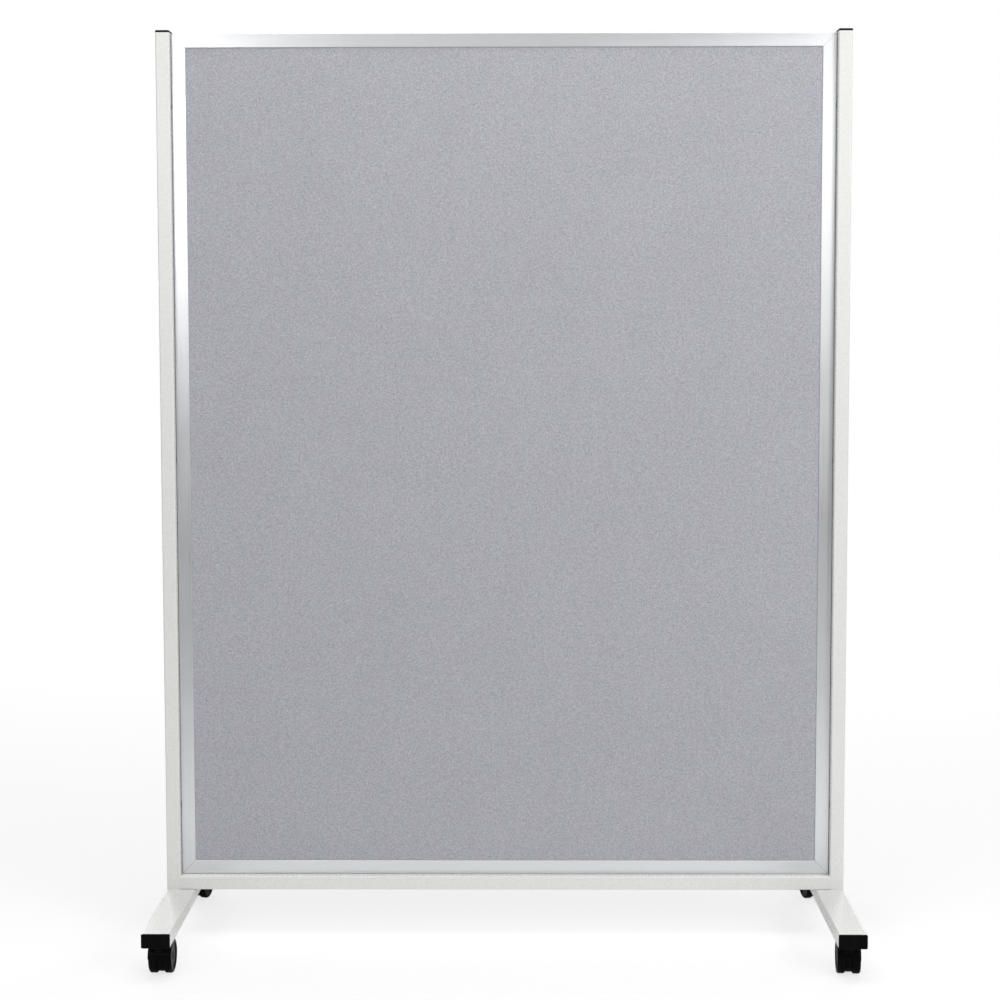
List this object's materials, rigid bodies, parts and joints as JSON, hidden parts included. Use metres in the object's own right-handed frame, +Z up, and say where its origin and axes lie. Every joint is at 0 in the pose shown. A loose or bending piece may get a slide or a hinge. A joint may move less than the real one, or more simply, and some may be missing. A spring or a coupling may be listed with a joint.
{
  "type": "partition wall",
  "caption": "Mobile partition wall: a tall fabric-faced panel in a light grey frame between two steel uprights, on flat feet with twin-wheel castors.",
  "frame": {"origin": "on the floor, under the middle of the wall", "axes": "+X along the wall to the right seen from the front, +Y to the rear, +Z up"},
  "size_m": [1.2616, 0.6, 1.661],
  "materials": {
    "coated_steel": "off-white to light grey powder coat, satin, very fine orange peel",
    "anodised_aluminium": "natural anodised extrusion, satin, fine lines along its length",
    "fabric": "grey-blue looped nylon, matt, fine pile",
    "core": "soft fibreboard, raw",
    "cap_plastic": "black polyethylene, lightly textured",
    "castor_plastic": "black moulded nylon",
    "wheel_plastic": "black moulded nylon, hard tread",
    "zinc_plated_steel": "bright zinc plate"
  },
  "bodies": {
    "root": {"bottom_rail": "coated_steel", "castor_front_left_stem": "zinc_plated_steel", "castor_front_right_stem": "zinc_plated_steel", "castor_nuts": "zinc_plated_steel", "castor_rear_left_stem": "zinc_plated_steel", "castor_rear_right_stem": "zinc_plated_steel", "core_board": "core", "foot_bolt_washers": "zinc_plated_steel", "foot_bolts": "zinc_plated_steel", "foot_cap_front_left": "cap_plastic", "foot_cap_front_right": "cap_plastic", "foot_cap_rear_left": "cap_plastic", "foot_cap_rear_right": "cap_plastic", "frame_bottom": "anodised_aluminium", "frame_corner_keys": "zinc_plated_steel", "frame_left": "anodised_aluminium", "frame_right": "anodised_aluminium", "frame_top": "anodised_aluminium", "front_fabric": "fabric", "left_foot": "coated_steel", "left_upright": "coated_steel", "left_upright_base_plug": "zinc_plated_steel", "left_upright_cap": "cap_plastic", "panel_screws": "zinc_plated_steel", "panel_spacers": "cap_plastic", "rail_weld_seams": "coated_steel", "rear_fabric": "fabric", "right_foot": "coated_steel", "right_upright": "coated_steel", "right_upright_base_plug": "zinc_plated_steel", "right_upright_cap": "cap_plastic"},
    "castor_front_left": {"castor_front_left_housing": "castor_plastic", "castor_front_left_axle": "zinc_plated_steel"},
    "castor_front_left_wheel_inner": {"castor_front_left_wheel_inner": "wheel_plastic"},
    "castor_front_left_wheel_outer": {"castor_front_left_wheel_outer": "wheel_plastic"},
    "castor_front_right": {"castor_front_right_housing": "castor_plastic", "castor_front_right_axle": "zinc_plated_steel"},
    "castor_front_right_wheel_inner": {"castor_front_right_wheel_inner": "wheel_plastic"},
    "castor_front_right_wheel_outer": {"castor_front_right_wheel_outer": "wheel_plastic"},
    "castor_rear_left": {"castor_rear_left_housing": "castor_plastic", "castor_rear_left_axle": "zinc_plated_steel"},
    "castor_rear_left_wheel_inner": {"castor_rear_left_wheel_inner": "wheel_plastic"},
    "castor_rear_left_wheel_outer": {"castor_rear_left_wheel_outer": "wheel_plastic"},
    "castor_rear_right": {"castor_rear_right_housing": "castor_plastic", "castor_rear_right_axle": "zinc_plated_steel"},
    "castor_rear_right_wheel_inner": {"castor_rear_right_wheel_inner": "wheel_plastic"},
    "castor_rear_right_wheel_outer": {"castor_rear_right_wheel_outer": "wheel_plastic"}
  },
  "joints": [
    {"name": "castor_front_left_swivel", "type": "hinge", "parent": "root", "child": "castor_front_left", "pos_m": [-0.601, -0.255, 0.053], "axis": [0, 0, 1], "continuous": true},
    {"name": "castor_front_left_wheel_inner_spin", "type": "hinge", "parent": "castor_front_left", "child": "castor_front_left_wheel_inner", "pos_m": [-0.60037, -0.23101, 0.03], "axis": [0.9997, -0.0262, 0], "continuous": true},
    {"name": "castor_front_left_wheel_outer_spin", "type": "hinge", "parent": "castor_front_left", "child": "castor_front_left_wheel_outer", "pos_m": [-0.60037, -0.23101, 0.03], "axis": [0.9997, -0.0262, 0], "continuous": true},
    {"name": "castor_front_right_swivel", "type": "hinge", "parent": "root", "child": "castor_front_right", "pos_m": [0.601, -0.255, 0.053], "axis": [0, 0, 1], "continuous": true},
    {"name": "castor_front_right_wheel_inner_spin", "type": "hinge", "parent": "castor_front_right", "child": "castor_front_right_wheel_inner", "pos_m": [0.60267, -0.23106, 0.03], "axis": [0.9976, -0.0698, 0], "continuous": true},
    {"name": "castor_front_right_wheel_outer_spin", "type": "hinge", "parent": "castor_front_right", "child": "castor_front_right_wheel_outer", "pos_m": [0.60267, -0.23106, 0.03], "axis": [0.9976, -0.0698, 0], "continuous": true},
    {"name": "castor_rear_left_swivel", "type": "hinge", "parent": "root", "child": "castor_rear_left", "pos_m": [-0.601, 0.255, 0.053], "axis": [0, 0, 1], "continuous": true},
    {"name": "castor_rear_left_wheel_inner_spin", "type": "hinge", "parent": "castor_rear_left", "child": "castor_rear_left_wheel_inner", "pos_m": [-0.60558, 0.23144, 0.03], "axis": [0.9816, -0.1908, 0], "continuous": true},
    {"name": "castor_rear_left_wheel_outer_spin", "type": "hinge", "parent": "castor_rear_left", "child": "castor_rear_left_wheel_outer", "pos_m": [-0.60558, 0.23144, 0.03], "axis": [0.9816, -0.1908, 0], "continuous": true},
    {"name": "castor_rear_right_swivel", "type": "hinge", "parent": "root", "child": "castor_rear_right", "pos_m": [0.601, 0.255, 0.053], "axis": [0, 0, 1], "continuous": true},
    {"name": "castor_rear_right_wheel_inner_spin", "type": "hinge", "parent": "castor_rear_right", "child": "castor_rear_right_wheel_inner", "pos_m": [0.60558, 0.23144, 0.03], "axis": [0.9816, 0.1908, 0], "continuous": true},
    {"name": "castor_rear_right_wheel_outer_spin", "type": "hinge", "parent": "castor_rear_right", "child": "castor_rear_right_wheel_outer", "pos_m": [0.60558, 0.23144, 0.03], "axis": [0.9816, 0.1908, 0], "continuous": true}
  ]
}
